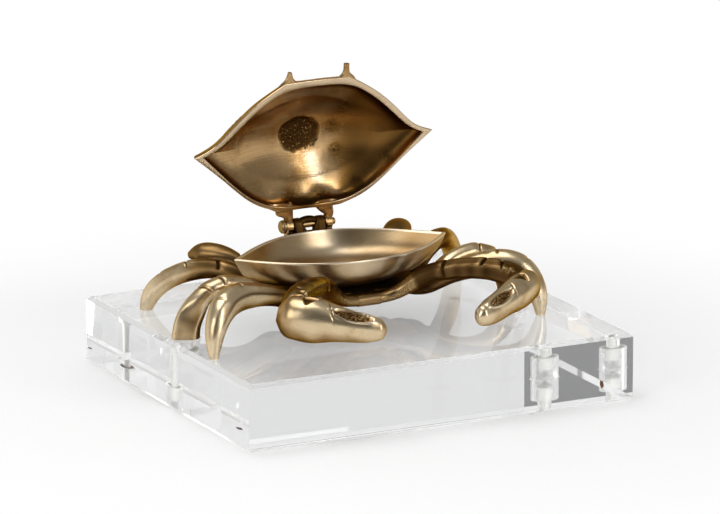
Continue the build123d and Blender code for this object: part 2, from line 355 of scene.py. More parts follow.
def brass(part, polished, brown, stain, pits, brush, gloss, painted_shade_behind=None):
    """Satin antique brass. A mesh with no values of its own gets painted shade instead: it is darker behind
    its front.
    """
    material, wires, shader = new_finish(f"{part}_brass")
    polished, brown = colour(*polished), colour(*brown)
    spot = wires.node("TexCoord", output="Object").stretched(1 / mm, 1 / mm, 1 / mm)
    if painted_shade_behind is None:
        wear_and_painted_light = wires.node("Attribute", {"attribute_name": "wear_and_painted_light"}, None, "Fac")
        strokes = wires.node("Attribute", {"attribute_name": "brushed"}, None, "Vector")
    else:
        # Painted shade: the part is darkened behind its front, under the bowl.
        behind = spot.node("SeparateXYZ", None, {0: spot}, "Y").rise(-13.5, -11.0)
        wear_and_painted_light = spot.grain(0.5) * 0.3 - behind * painted_shade_behind
        strokes = spot
    lines = strokes.stretched(0.07, 1.9, 1.9).grain(1.0, 5.0, 0.6)
    cloud = spot.grain(0.085, 4.0, 0.6)
    speck = spot.grain(1.7, 2.0).rise(0.66, 0.74) * spot.grain(0.13).rise(0.5, 0.62)
    tarnish = (cloud.rise(0.46, 0.72) * stain + lines.rise(0.35, 0.75) * (0.22 * brush)).capped()
    # Low values turn the brass brown and then dark patina: real patina in hollows and nicks, and painted
    # shade on undersides, roots, the claw arms and the hinge. High values turn it pale: rubbed edges, and
    # painted highlights inside the lid and the bowl.
    browned_and_shaded = (0.0 - wear_and_painted_light).rise(0.0, 0.55)
    sunk_and_shaded = ((0.0 - wear_and_painted_light).rise(0.25, 1.0) + speck * pits).capped()
    rubbed_and_highlight = wear_and_painted_light.rise(0.15, 0.9)
    aged = browned_and_shaded.mix(tarnish.mix(polished, brown), brown)
    relief = lines * (0.5 * brush) + spot.grain(0.7, 2.0) * 0.35 - speck * 1.2
    wires.feed(shader, {
        "Base Color": rubbed_and_highlight.mix(sunk_and_shaded.mix(aged, dark_patina), pale_brass),
        "Roughness": gloss + lines * 0.06 + tarnish * 0.05 + sunk_and_shaded * 0.22 - rubbed_and_highlight * 0.03,
        "Normal": relief.bump(0.16, 0.0003),
        "Metallic": 1.0,
        "Specular Tint": warm_edge,
    })
    return material


limb_brass = brass("limb", (0.71, 0.565, 0.355), (0.36, 0.22, 0.088), 0.65, 0.8, 0.9, 0.25)
# The claw arms get a darker brass: painted shade, for arms that sit in shade below the bowl.
shaded_arm_brass = brass("arm", (0.30, 0.20, 0.09), (0.16, 0.09, 0.033), 0.7, 0.7, 0.45, 0.24)
bowl_brass = brass("bowl", (0.52, 0.39, 0.23), (0.29, 0.165, 0.058), 0.5, 0.4, 1.2, 0.29)
lid_brass = brass("lid", (0.47, 0.31, 0.15), (0.25, 0.127, 0.032), 0.7, 0.9, 1.5, 0.20)
# The hinge pin and the belly plate take painted shade behind their fronts: the last number.
hinge_brass = brass("hinge", (0.34, 0.23, 0.11), (0.16, 0.09, 0.03), 0.7, 0.6, 0.6, 0.26, 0.15)
plate_brass = brass("plate", (0.24, 0.155, 0.07), (0.1, 0.055, 0.02), 0.6, 0.9, 0.6, 0.30, 0.25)
paint("hinge_pin", hinge_brass)
paint("belly_plate", plate_brass)
print("brass finishes:", [m.name for m in bpy.data.materials if m.name.endswith("brass")])

# %% [markdown]
# ## Curves and skins
# Each limb is a smooth path with an oval section that swells and narrows. A Blender curve with
# a bevel could sweep it, but it could not carry nicks, facets and worn edges. So the rings are
# worked out as arrays, details are pressed into them along their own outward direction, and
# one helper joins the rings into a closed mesh. Lengths here are in millimetres.

# %% Smooth curves
def step(value, low, high):
    """0 below low, 1 above high, smooth between."""
    share = np.clip((value - low) / (high - low), 0, 1)
    return share * share * (3 - 2 * share)


def bell(value, width):
    return np.exp(-((value / width) ** 2))


def spline(stations, count):
    """Even samples of a natural cubic through the stations, with the lengths along it."""
    stations = np.asarray(stations, float)
    marks = np.r_[0, np.cumsum(np.linalg.norm(np.diff(stations[:, :3], axis=0), axis=1))]
    gaps = np.diff(marks)
    system = np.eye(len(stations))
    slopes = np.diff(stations, axis=0) / gaps[:, None]
    pull = np.zeros_like(stations)
    for i in range(1, len(stations) - 1):
        system[i, i - 1 : i + 2] = gaps[i - 1], 2 * (gaps[i - 1] + gaps[i]), gaps[i]
        pull[i] = 6 * (slopes[i] - slopes[i - 1])
    bend = np.linalg.solve(system, pull)
    along = np.linspace(0, marks[-1], count)
    k = np.clip(np.searchsorted(marks, along, "right") - 1, 0, len(gaps) - 1)
    gap = gaps[k][:, None]
    after = ((along - marks[k]) / gaps[k])[:, None]
    before = 1 - after
    curve = before * stations[k] + after * stations[k + 1]
    curve += ((before**3 - before) * bend[k] + (after**3 - after) * bend[k + 1]) * gap**2 / 6
    return curve, along, marks


def lumps(points, size):
    """Soft unevenness of a hand-finished casting, from -1 to 1."""
    flat = points.reshape(-1, 3) / size
    return np.array([noise.noise(p) for p in flat.tolist()]).reshape(points.shape[:-1])


def granules(points, size, where):
    """Rounded grains about this size, only where the mask is above zero."""
    raised = np.zeros(where.shape)
    for index in np.argwhere(where > 0.01):
        spot = tuple(index)
        raised[spot] = 0.6 - noise.voronoi((points[spot] / size).tolist())[0][0]
    return raised * where


print("curve helpers ready")

# %% Closed skins
mid_x, base_top = -3.3, 25.0
sides = ((-1, "left"), (1, "right"))


def unit(vectors):
    return vectors / np.linalg.norm(vectors, axis=-1, keepdims=True)


def quads(index):
    """Faces between neighbouring rings of point numbers."""
    ahead = np.roll(index, -1, axis=1)
    return np.stack([index[:-1], ahead[:-1], ahead[1:], index[1:]], -1).reshape(-1, 4).tolist()


def with_ends(values):
    """Values at all the rings' points, then the means of the first ring and of the last."""
    return np.concatenate([values.reshape(-1, *values.shape[2:]), [values[0].mean(0), values[-1].mean(0)]])


def carry(mesh, wear_and_painted_light, brushed):
    """Store at each point its brass value, from hollow to polished and from painted shade to painted
    highlight, and which way it was brushed.
    """
    worn_and_lit = mesh.attributes.new("wear_and_painted_light", "FLOAT", "POINT")
    worn_and_lit.data.foreach_set("value", wear_and_painted_light.astype(np.float32))
    strokes = mesh.attributes.new("brushed", "FLOAT_VECTOR", "POINT")
    strokes.data.foreach_set("vector", brushed.astype(np.float32).ravel())


def show(mesh, material, sharp_degrees):
    """Shade a mesh smooth but for its sharp edges, and put it in the scene."""
    mesh.shade_smooth()
    mesh.set_sharp_from_angle(angle=math.radians(sharp_degrees))
    mesh.materials.append(material)
    return put(mesh.name, mesh)


def skin(name, grid, wear_and_painted_light, brushed, material, foot=False):
    """A closed mesh over rings of points, carrying each point's brass value, with its painted shade and
    highlights, and the way it was brushed.
    """
    rings, around = grid.shape[:2]
    total = rings * around
    faces = quads(np.arange(total).reshape(rings, around))
    last = total - around
    for k in range(around):
        ahead = (k + 1) % around
        faces.append([total, ahead, k])
        faces.append([total + 1, last + k, last + ahead])
    mesh = bpy.data.meshes.new(name)
    mesh.from_pydata((with_ends(grid) * mm).tolist(), [], faces)
    carry(mesh, with_ends(wear_and_painted_light), with_ends(brushed))
    solid = bmesh.new()
    solid.from_mesh(mesh)
    if foot:
        every = solid.verts[:] + solid.edges[:] + solid.faces[:]
        above = {"plane_co": (0, 0, base_top * mm), "plane_no": (0, 0, 1), "clear_inner": True}
        sole = bmesh.ops.bisect_plane(solid, geom=every, dist=1e-7, **above)
        rim = [part for part in sole["geom_cut"] if isinstance(part, bmesh.types.BMEdge)]
        bmesh.ops.contextual_create(solid, geom=rim)
    bmesh.ops.recalc_face_normals(solid, faces=solid.faces[:])
    solid.to_mesh(mesh)
    solid.free()
    return show(mesh, material, 48)


def place_on(piece, body, slot, *stands_for):
    """Let a piece ride on a body in place of CAD nodes."""
    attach(piece, body)
    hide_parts(*stands_for)
    print(piece.name, len(piece.data.polygons), "faces")


print("skin helpers ready")

# %% [markdown]
# ## Limbs
# The legs and claw arms are separate castings. A saw or a chisel has nicked each of them over
# the top to suggest joints, and the metal swells a little before each nick. The helper class
# keeps a limb's rings together with the lengths and angles that details are placed by: angle 0
# is the crab's rear side, a quarter turn is the top, half a turn is the front.

# %% A limb and its nicks
class Limb:
    """Rings along a path. Across and up span each ring; along and angle place the details."""

    def __init__(self, stations, level, spacing, around, mirror=1, start_way=None):
        stations = np.asarray(stations, float)
        run = np.linalg.norm(np.diff(stations[:, :3], axis=0), axis=1).sum()
        path, self.along, self.marks = spline(stations, int(run / spacing))
        self.centre, self.half = path[:, :3], path[:, 3:]
        travel = unit(np.gradient(self.centre, axis=0))
        if start_way is not None:
            share = 1 - step(self.along, 0, self.marks[1])[:, None]
            travel = unit(travel * (1 - share) + np.asarray(start_way) * share)
        level = np.asarray(level, float)
        self.across = unit(level - travel * (travel @ level)[:, None])
        self.up = mirror * np.cross(travel, self.across)
        self.angle = np.arange(around) * 2 * np.pi / around
        self.s = self.along[:, None]
        self.cos, self.sin = np.cos(self.angle)[None], np.sin(self.angle)[None]

    def at(self, mark):
        """Length along the limb at a station, or part of the way to the next."""
        return np.interp(mark, np.arange(len(self.marks)), self.marks)

    def turn(self, degrees):
        """How far each point lies round from this angle, in radians."""
        return (self.angle[None] - math.radians(degrees) + np.pi) % (2 * np.pi) - np.pi

    def section(self, square=2.0, flats=()):
        """Each ring's points across and up, flats planed off it, and how near a flat's edge they lie."""
        power = 2 / np.broadcast_to(square, self.along.shape)[:, None]
        wide, high = self.half[:, :1], self.half[:, 1:]
        x = wide * np.sign(self.cos) * np.abs(self.cos) ** power
        y = high * np.sign(self.sin) * np.abs(self.sin) ** power
        edge = np.zeros(x.shape)
        for degrees, share, strength in flats:
            c, s = math.cos(math.radians(degrees)), math.sin(math.radians(degrees))
            over = x * c + y * s - share * np.hypot(wide * c, high * s)
            x, y = x - np.maximum(over, 0) * strength * c, y - np.maximum(over, 0) * strength * s
            edge = np.maximum(edge, bell(over, 0.4) * strength)
        return x, y, edge

    def ring_points(self, press=0.0, square=2.0, flats=()):
        x, y, _ = self.section(square, flats)
        out = unit(np.stack([self.cos * self.half[:, 1:], self.sin * self.half[:, :1]], -1))
        x, y = x + out[..., 0] * press, y + out[..., 1] * press
        return self.centre[:, None] + self.across[:, None] * x[..., None] + self.up[:, None] * y[..., None]

    def nick(self, mark, slant, low):
        """Groove and swelling at a joint, both only where the sine of the angle is above low."""
        away = self.s - self.at(mark) - slant * self.cos
        over = step(self.sin, low, low + 0.3)
        return bell(away, 0.34) * over, bell(away + 1.7, 1.4) * over

    def between(self, first, last, fade=3.0):
        """1 between two stations, fading out beside them."""
        start, end = self.at(first), self.at(last)
        return step(self.s, start - fade, start) * (1 - step(self.s, end, end + fade))

    def strokes(self, around_first=False):
        """Brush marks along the limb, or round it."""
        round_way = self.angle[None] * self.half.mean(1)[:, None]
        run = np.broadcast_to(self.s, round_way.shape)
        pair = (round_way, run) if around_first else (run, round_way)
        return np.stack([*pair, np.zeros_like(run)], -1)


def level_of(stations, side):
    """Level direction square to a limb in plan, towards the crab's rear for a leg."""
    root, tip = stations[0], stations[-1]
    sideways = np.array([root[1] - tip[1], side * (tip[0] - root[0]), 0.0])
    return side * unit(sideways)


def mirrored(stations, side, reach=1.0):
    """Stations placed on one side of the crab, their reach from the root stretched."""
    root = stations[0][0]
    return [(mid_x + side * (root + reach * (x - root)), *rest) for x, *rest in stations]


print("limb helpers ready")

# %% [markdown]
# ## Legs
# There are four pairs. The front pair ends in points, the second pair flares into flat blades
# whose feet take the screws, the third pair is ridged and nicked three times, and the last is
# folded up as a swimming paddle. Each leg starts on a flat of the belly plate. The paths repeat
# the construction's stations, but for a slightly slimmer ankle on the blade legs, so every foot
# lands where its solid stands.

# %% Leg paths
root_z = 34.5
leg_paths = {
    "front_leg": [
        (20.8, -7.6, root_z, 3.7, 2.0), (24.4, -10.8, 35.0, 3.7, 2.4),
        (33.0, -13.2, 38.8, 3.9, 3.4), (43.5, -16.2, 42.0, 4.3, 4.3),
        (53.0, -20.6, 43.2, 4.8, 5.3), (59.8, -25.0, 41.2, 4.7, 5.1),
        (63.8, -28.2, 36.2, 3.9, 4.1), (65.4, -29.8, 30.4, 2.9, 3.0),
        (65.7, -30.4, 24.0, 1.4, 1.4),
    ],
    "blade_leg": [
        (26.8, -0.1, root_z, 3.5, 2.0), (31.0, -1.2, 35.0, 3.4, 2.4),
        (38.0, -1.4, 39.2, 3.5, 3.2), (45.0, -0.8, 42.0, 3.6, 3.4),
        (52.0, -0.6, 42.4, 3.8, 3.5), (58.4, -0.7, 39.8, 3.6, 3.5),
        (62.8, -0.9, 34.6, 4.1, 4.6), (65.2, -1.0, 29.4, 4.2, 5.0),
        (66.0, -1.0, 24.0, 4.3, 5.3),
    ],
    "rear_leg": [
        (26.1, 8.5, root_z, 3.5, 2.0), (29.6, 10.2, 35.0, 3.3, 2.4),
        (36.0, 13.6, 40.0, 3.5, 3.3), (43.4, 19.4, 43.0, 3.8, 3.6),
        (50.8, 27.6, 41.2, 3.9, 3.8), (56.8, 35.0, 36.4, 3.7, 3.6),
        (60.3, 39.6, 30.4, 3.3, 3.2), (61.8, 41.4, 24.0, 2.0, 2.0),
    ],
    "paddle_leg": [
        (20.6, 15.5, root_z, 3.4, 2.0), (22.6, 18.2, 35.0, 3.1, 2.3),
        (26.0, 23.0, 39.0, 2.7, 2.5), (29.4, 27.4, 41.6, 2.4, 2.3),
        (33.2, 31.4, 43.6, 3.6, 3.0), (37.8, 36.2, 44.2, 4.7, 3.7),
        (41.6, 39.8, 43.6, 3.9, 3.1), (43.8, 41.9, 42.8, 1.4, 1.2),
    ],
}
leg_flats = {
    "front_leg": (6.0, -9.6),
    "blade_leg": (9.0, -2.4),
    "rear_leg": (8.2, 3.8),
    "paddle_leg": (5.8, 7.2),
}
uneven_reach = {"left_front_leg": 1.07, "right_front_leg": 0.92, "right_rear_leg": 1.08}
print("legs:", list(leg_paths))

# %% [markdown]
# The details differ from leg to leg, and a short function for each is easier to follow than one
# with many switches. Each returns how far the surface is pressed in or out, how worn it is, with
# painted shade near the body on the front and rear legs, how square its section is and which
# flats are planed on it.

# %% Leg details
def joint_marks(limb, places):
    """Nicks with their swellings: each place gives its station, slant, depth and lower end."""
    press = np.zeros((len(limb.along), len(limb.angle)))
    wear_and_painted_light = np.zeros_like(press)
    for mark, slant, deep, low in places:
        groove, swell = limb.nick(mark, slant, low)
        press += 0.14 * swell - 0.55 * deep * groove
        wear_and_painted_light += 0.25 * swell - deep * groove
    return press, wear_and_painted_light


def rubbed_tip(limb):
    """Extra rubbing on the last third, which hands and cloths reach first."""
    return 0.45 * step(limb.s, 0.6 * limb.along[-1], 0.9 * limb.along[-1])


def front_leg_detail(limb):
    press, wear_and_painted_light = joint_marks(limb, [(5.0, 0.4, 0.8, 0.78), (3.9, -0.9, 0.7, 0.72)])
    scar = bell(limb.s - limb.at(3.6), 1.2) * bell(limb.turn(100), 0.25)
    shin = limb.between(5.3, 8.0)
    # Painted shade, with some patina: the leg is darker near the body, where the bowl shades it.
    wear_and_painted_light = wear_and_painted_light + 0.3 * scar + rubbed_tip(limb) - 0.5 * (1 - step(limb.s, 14.0, 32.0))
    return press - 0.35 * scar, wear_and_painted_light, 2.05, [(150, 0.9, 0.3 * shin)]


def blade_leg_detail(limb):
    press, wear_and_painted_light = joint_marks(limb, [(4.0, 0.8, 1.0, 0.25), (4.9, 1.4, 0.9, 0.05)])
    blade = step(limb.s, limb.at(5.1), limb.at(6.6))
    wear_and_painted_light = wear_and_painted_light - 0.35 * blade * step(-limb.cos, 0.0, 0.6)
    return press, wear_and_painted_light, 2.1, [(153, 0.66, blade), (-27, 0.8, blade)]


def rear_leg_detail(limb):
    press, wear_and_painted_light = joint_marks(limb, [(3.0, 1.2, 1.1, 0.1), (4.0, 1.3, 0.8, 0.45), (5.0, 0.6, 0.9, 0.75)])
    thigh = limb.between(1.6, 5.6)
    # Painted shade, with some patina: the thigh is darker near the body, where the bowl shades it.
    wear_and_painted_light = wear_and_painted_light + rubbed_tip(limb) - 0.8 * (1 - step(limb.s, 24.0, 40.0))
    return press, wear_and_painted_light, 2.1, [(150, 0.9, 0.4 * thigh), (75, 0.92, 0.4 * thigh)]


def paddle_leg_detail(limb):
    press, wear_and_painted_light = joint_marks(limb, [(3.3, 0.5, 0.8, -0.2)])
    return press, wear_and_painted_light - 0.55, 2.05, []


leg_details = {
    "front_leg": front_leg_detail,
    "blade_leg": blade_leg_detail,
    "rear_leg": rear_leg_detail,
    "paddle_leg": paddle_leg_detail,
}


def cast_skin(name, limb, detail, material, foot=False, around_first=False, root_patina_and_shade=0.7):
    """The skin of a limb with its details, a soft unevenness, and painted shade at its root and on its
    underside, with some real tarnish at the root.
    """
    press, wear_and_painted_light, square, flats = detail
    smooth_points = limb.ring_points(0.0, square, flats)
    edge = limb.section(square, flats)[2]
    uneven = lumps(smooth_points, 7.0)
    root = 1 - step(limb.s, 2.0, 14.0)
    # Painted shade: darker at the root, where real patina also gathers, and darker on the underside.
    wear_and_painted_light = wear_and_painted_light + 0.2 * uneven + 0.45 * edge - root_patina_and_shade * root - 0.5 * step(-limb.sin, 0.0, 0.9)
    grid = limb.ring_points(press + 0.10 * uneven + 0.02 * lumps(smooth_points, 2.2), square, flats)
    return skin(name, grid, wear_and_painted_light, limb.strokes(around_first), material, foot)


print("leg details:", len(leg_details))

# %% Legs
ring_gap, leg_around = 0.28, 72
for side, side_name in sides:
    for leg_name, stations in leg_paths.items():
        node_name = f"{side_name}_{leg_name}"
        flat_x, flat_y = leg_flats[leg_name]
        off_plate = unit(np.array([side * flat_x, flat_y, 0.0]))
        placed = mirrored(stations, side, uneven_reach.get(node_name, 1.0))
        limb = Limb(placed, level_of(stations, side), ring_gap, leg_around, side, off_plate)
        detail = leg_details[leg_name](limb)
        leg = cast_skin(f"cast_{node_name}", limb, detail, limb_brass, leg_name != "paddle_leg")
        place_on(leg, "crab", "brass_limbs", node_name)

# %% [markdown]
# ## Claws
# Each claw is an arm that sweeps forward from under the bowl and a bulbous hand that folds back
# across the front. On the finger lies a sunk patch, left rough from the mould, and a deep
# triangular cut marks the wrist. Sculpting would do it by eye. Here the marks are pressed in by
# length and angle, so one set serves both claws. The right hand is the slimmer one, and its arm
# is nicked deeper and brushed across.

# %% Claw paths
arm_path = [
    (-0.4, -13.9, root_z, 3.3, 2.2), (4.5, -14.0, root_z, 3.2, 2.1),
    (10.4, -14.9, 35.6, 3.1, 2.4), (15.8, -17.8, 39.2, 3.4, 3.0),
    (20.4, -21.4, 42.8, 3.7, 3.4), (26.5, -27.4, 45.4, 3.9, 3.6),
    (33.6, -33.6, 46.6, 4.1, 3.8), (39.8, -39.2, 46.2, 4.3, 4.1),
    (44.6, -44.0, 44.2, 4.2, 4.2), (46.4, -47.0, 41.8, 3.2, 3.4),
]
hand_path = [
    (51.0, -45.0, 42.9, 2.2, 2.8), (49.3, -46.2, 42.5, 5.0, 5.9),
    (45.8, -48.8, 41.7, 6.8, 7.8), (41.0, -51.9, 40.9, 7.0, 8.2),
    (35.5, -55.4, 40.1, 6.1, 7.0), (29.3, -59.2, 39.0, 4.9, 5.8),
    (23.4, -62.6, 38.2, 4.0, 4.9), (20.6, -64.1, 37.9, 3.2, 4.0),
    (19.0, -65.0, 37.8, 2.1, 2.7), (18.2, -65.4, 37.8, 0.7, 0.9),
]


def arm_detail(limb, hollow, deep, dark):
    """Shallow hollows between the joints, three nicks, and two small spikes near the wrist."""
    nicks = [(4.9, 0.5, deep, -0.6), (6.45, 0.9, 1.3 * deep, 0.4), (7.15, -0.8, 1.2 * deep, 0.3)]
    press, wear_and_painted_light = joint_marks(limb, nicks)
    front = bell(limb.turn(180), 0.9)
    hollows = sum(bell(limb.s - limb.at(mark), 1.5) for mark in (5.4, 5.9, 6.6)) * front
    spikes = sum(bell(limb.s - limb.at(mark), 0.9) * bell(limb.turn(140), 0.35) for mark in (7.3, 7.7))
    wrist = min(deep, 1.0) * limb.between(5.0, 8.0)
    # Painted shade: the arm is darkened from its middle to the wrist, by the dark amount.
    wear_and_painted_light = wear_and_painted_light - dark * limb.between(3.6, 8.0)
    press = press - hollow * hollows + 1.1 * spikes
    return press, wear_and_painted_light - hollow * hollows + 0.7 * spikes, 2.2, [(180, 0.9, wrist), (115, 0.92, wrist)]


def hand_detail(limb):
    """A rough patch pressed into the finger, the cut behind it, and a triangular cut at the wrist."""
    points = limb.ring_points(0.0, 2.1)
    reach = limb.half.mean(1)[:, None]
    middle, half_run = (limb.at(4.1) + limb.at(6.2)) / 2, (limb.at(6.2) - limb.at(4.1)) / 2
    spread = np.hypot((limb.s - middle) / half_run, reach * limb.turn(58) / 2.3)
    patch = 1 - step(spread, 0.80, 1.10)
    lip = bell(spread - 1.14, 0.12)
    rough = granules(points, 0.8, patch)
    slant = limb.s - limb.at(3.95) + 2.4 * limb.turn(62)
    cut = bell(slant, 0.45) * bell(limb.turn(52), 0.5)
    ledge = step(slant, 0.0, 1.0) * bell(limb.s - limb.at(4.3), 4.0) * bell(limb.turn(60), 0.5)
    drop = reach * (math.radians(84) - limb.angle[None])
    width = 2.9 * (1 - np.clip(drop / 4.4, 0, 1))
    beside = np.abs(limb.s - limb.at(2.75) + 0.25 * drop) - width
    wrist = (1 - step(beside, -0.8, 0.6)) * step(drop, -2.2, -0.6) * (1 - step(drop, 3.6, 4.4))
    press = 0.6 * rough - 0.9 * patch + 0.2 * lip - 0.5 * cut - 0.5 * ledge - 1.0 * wrist
    wear_and_painted_light = 0.7 * rubbed_tip(limb) + 0.6 * lip - 0.95 * patch + 1.0 * rough - 1.0 * cut - 0.7 * wrist
    return press, wear_and_painted_light, 2.05, []


print("claw stations:", len(arm_path), "in an arm,", len(hand_path), "in a hand")

# %% Claws
arm_around, hand_gap, hand_around = 84, 0.2, 200
slimmer = [0.85, 0.8, 0.76, 0.76, 0.8, 0.88, 0.94, 0.96, 0.96, 0.96]
hand_bulk = {"left": 1.0, "right": np.array(slimmer)[:, None]}
# The last number of each entry is the painted shade on the arm.
arm_marks = {"left": (0.0, 0.3, 0.3), "right": (0.25, 1.2, 0.8)}
for side, side_name in sides:
    name = f"cast_{side_name}_claw"
    arm = Limb(mirrored(arm_path, side), level_of(arm_path, side), ring_gap, arm_around, side, (side, 0, 0))
    detail = arm_detail(arm, *arm_marks[side_name])
    arm_piece = cast_skin(f"{name}_arm", arm, detail, shaded_arm_brass, around_first=side > 0, root_patina_and_shade=0.0)
    bulk_path = np.array(hand_path)
    bulk_path[:, 3:] *= hand_bulk[side_name]
    hand = Limb(mirrored(bulk_path, side), level_of(hand_path, side), hand_gap, hand_around, side)
    hand_piece = cast_skin(f"{name}_hand", hand, hand_detail(hand), limb_brass, root_patina_and_shade=0.3)
    for piece in (arm_piece, hand_piece):
        place_on(piece, "crab", "brass_limbs", f"{side_name}_claw")

# %% [markdown]
# ## Bowl
# The bowl is an almond in plan, pointed at both sides, with a thin rim rubbed pale. It could be
# a thickened surface, but a Solidify modifier gives square edges. A closed skin follows the
# wall instead: up the outside, over a rounded rim and down the inside to the floor.

# %% Walls that follow an outline
def wall_grid(outline, rows, centre_y):
    """Rings of the outline, scaled about its centre: each row gives a scale and a height."""
    rows = np.asarray(rows, float)
    middle = np.array([0.0, centre_y])
    flat = middle + rows[:, None, :1] * (outline - middle)
    heights = np.broadcast_to(rows[:, 1:2, None], (*flat.shape[:2], 1))
    return np.concatenate([flat, heights], -1)


def rim_rows(outer, inner, edge_z, drop, reach, count):
    """Rows over a rounded rim between two scales. A drop below zero rounds a lower edge."""
    turns = np.linspace(0, np.pi / 2, count)[1:]
    rows = [(outer - reach * (1 - np.cos(t)), edge_z - drop * (1 - np.sin(t))) for t in turns]
    return rows + [(inner + reach * (1 - np.cos(t)), edge_z - drop * (1 - np.sin(t))) for t in turns[::-1]]


def outward(grid):
    """Directions square to a skin of rings."""
    down = np.gradient(grid, axis=0)
    round_way = np.roll(grid, -1, axis=1) - np.roll(grid, 1, axis=1)
    square = np.cross(round_way, down)
    return square / np.maximum(np.linalg.norm(square, axis=-1, keepdims=True), 1e-9)


def wall_strokes(grid):
    """Brush marks that run level round a wall."""
    hop = np.linalg.norm(np.diff(grid, axis=1, append=grid[:, :1]), axis=-1)
    drop = np.linalg.norm(np.diff(grid, axis=0, prepend=grid[:1]), axis=-1)
    return np.stack([np.cumsum(hop, 1), np.cumsum(drop, 0), np.zeros(hop.shape)], -1)


print("wall helpers ready")

# %% Bowl
tip, tip_y, rim_z, plate_top, bowl_wall, bowl_centre = 42.7, 6.7, 49.5, 36.6, 1.7, 9.0
bowl_front = [(tip, tip_y), (28.0, -7.2), (0.0, -16.0), (-28.0, -7.2), (-tip, tip_y)]
bowl_rear = [(-tip, tip_y), (-24.5, 22.2), (-10.5, 29.0), (10.5, 29.0), (24.5, 22.2), (tip, tip_y)]
bowl_levels = [(0.42, 0.0), (0.64, 0.1), (0.84, 0.33), (0.945, 0.65), (1.0, 1.0)]
almond = np.concatenate([spline(bowl_front, 181)[0][:-1], spline(bowl_rear, 181)[0][:-1]])
thin = bowl_wall / tip
rim_radius = 0.5
outer = spline(bowl_levels, 44)[0]
inner = spline([(0.0, 0.0), (0.2, 0.0), *bowl_levels], 56)[0][::-1]
rows = [(s, plate_top) for s in np.linspace(0.02, 0.4, 6)]
rows += [(s, plate_top + h * (rim_z - rim_radius - plate_top)) for s, h in outer]
outer_count = len(rows)
rows += rim_rows(1.0, 1.0 - thin, rim_z, rim_radius, rim_radius / tip, 5)
rim_count = len(rows)
floor_z = plate_top + bowl_wall
rows += [(max(s - thin, 0.01), floor_z + h * (rim_z - rim_radius - floor_z)) for s, h in inner]
grid = wall_grid(almond, rows, bowl_centre) + [mid_x, 0, 0]
row_index = np.arange(len(rows))[:, None]
on_rim = ((row_index >= outer_count - 1) & (row_index <= rim_count)).astype(float)
inside = (row_index > rim_count).astype(float)
uneven = lumps(grid, 9.0)
grid = grid + outward(grid) * (0.10 * uneven * (1 - on_rim))[..., None]
sideways = grid[..., 0] - mid_x
# Outside the bowl: paler towards the rim and darker on the left.
outside_tone = 0.1 + 0.35 * step(grid[..., 2], 38.0, 46.0) - 0.6 * step(-sideways, 2.0, 22.0)
# Inside the bowl: a painted highlight, paler right of the middle where the front strip is mirrored, and
# darker towards both ends.
painted_highlight_dark_ends = 0.5 * bell(sideways - 6.0, 12.0) - 0.3 * step(np.abs(sideways), 10.0, 26.0)
outside_tone = outside_tone * (1 - inside) * (1 - on_rim)
bowl_wear_and_light = 0.9 * on_rim + (0.12 * uneven + painted_highlight_dark_ends) * inside + outside_tone
bowl = skin("brushed_bowl", grid, bowl_wear_and_light, wall_strokes(grid), bowl_brass)
place_on(bowl, "crab", "brass_bowl", "bowl")

# %% [markdown]
# ## Shell lid
# The lid is the crab's back: a shallow dome with a point at each side and two small spines on
# its front edge. It stands open, so its brushed inside faces the camera, with a round rough
# dimple left by the casting. It is drawn as if shut, with the hinge line as its zero, and then
# turned open, which keeps the numbers simple.

# %% Lid outline and wall
hinge_y, hinge_z, open_angle = 33.5, 51.3, math.radians(-82)
lid_tip, lid_front_corner, lid_back_corner = (48.2, -31.6), (13.0, -56.4), (12.0, -6.8)
lid_side = [(41.2, -34.6), (33.8, -41.2), (23.4, -50.1)]
lid_back = [(34.8, -20.5), (20.8, -9.8)]
lid_front_mid, lid_centre, rim_low, lid_rise, lid_wall = -56.7, -31.0, -1.5, 15.5, 2.2
lid_levels = [(1.0, 0.0), (0.965, 0.22), (0.86, 0.47), (0.67, 0.72), (0.44, 0.9), (0.16, 1.0)]


def open_lid(points):
    """Points of the shut lid, turned open about the hinge."""
    c, s = math.cos(open_angle), math.sin(open_angle)
    x, y, z = points[..., 0], points[..., 1], points[..., 2]
    return np.stack([x + mid_x, hinge_y + c * y - s * z, hinge_z + s * y + c * z], -1)


def lid_outline(point, flank, front_corner, front_mid, backs, back_corner):
    """Closed outline of the lid from its right-hand points, in one turn."""
    front = spline([point, *flank, front_corner], 120)[0]
    brow = spline([front_corner, (0.0, front_mid), (-front_corner[0], front_corner[1])], 50)[0]
    rear = spline([point, *backs, back_corner], 110)[0]
    heel = np.linspace((-back_corner[0], back_corner[1]), back_corner, 40)
    flip = np.array([-1.0, 1.0])
    parts = [front, brow, (front * flip)[::-1], rear * flip, heel, rear[::-1]]
    return np.concatenate([part[:-1] for part in parts])


def softened(line, reach, hop=1):
    """A closed outline averaged over its neighbours on both sides."""
    return np.mean([np.roll(line, n, axis=0) for n in range(-reach, reach + 1, hop)], axis=0)


def lid_rings(line, rows):
    """Rings of an outline whose points grow rounder towards the crown, so no crease runs across."""
    scales = np.array([scale for scale, height in rows])
    share = 1 - step(scales, 0.78, 0.998)
    lines = line + share[:, None, None] * (softened(line, 70, 2) - line)
    return wall_grid(lines, rows, lid_centre)


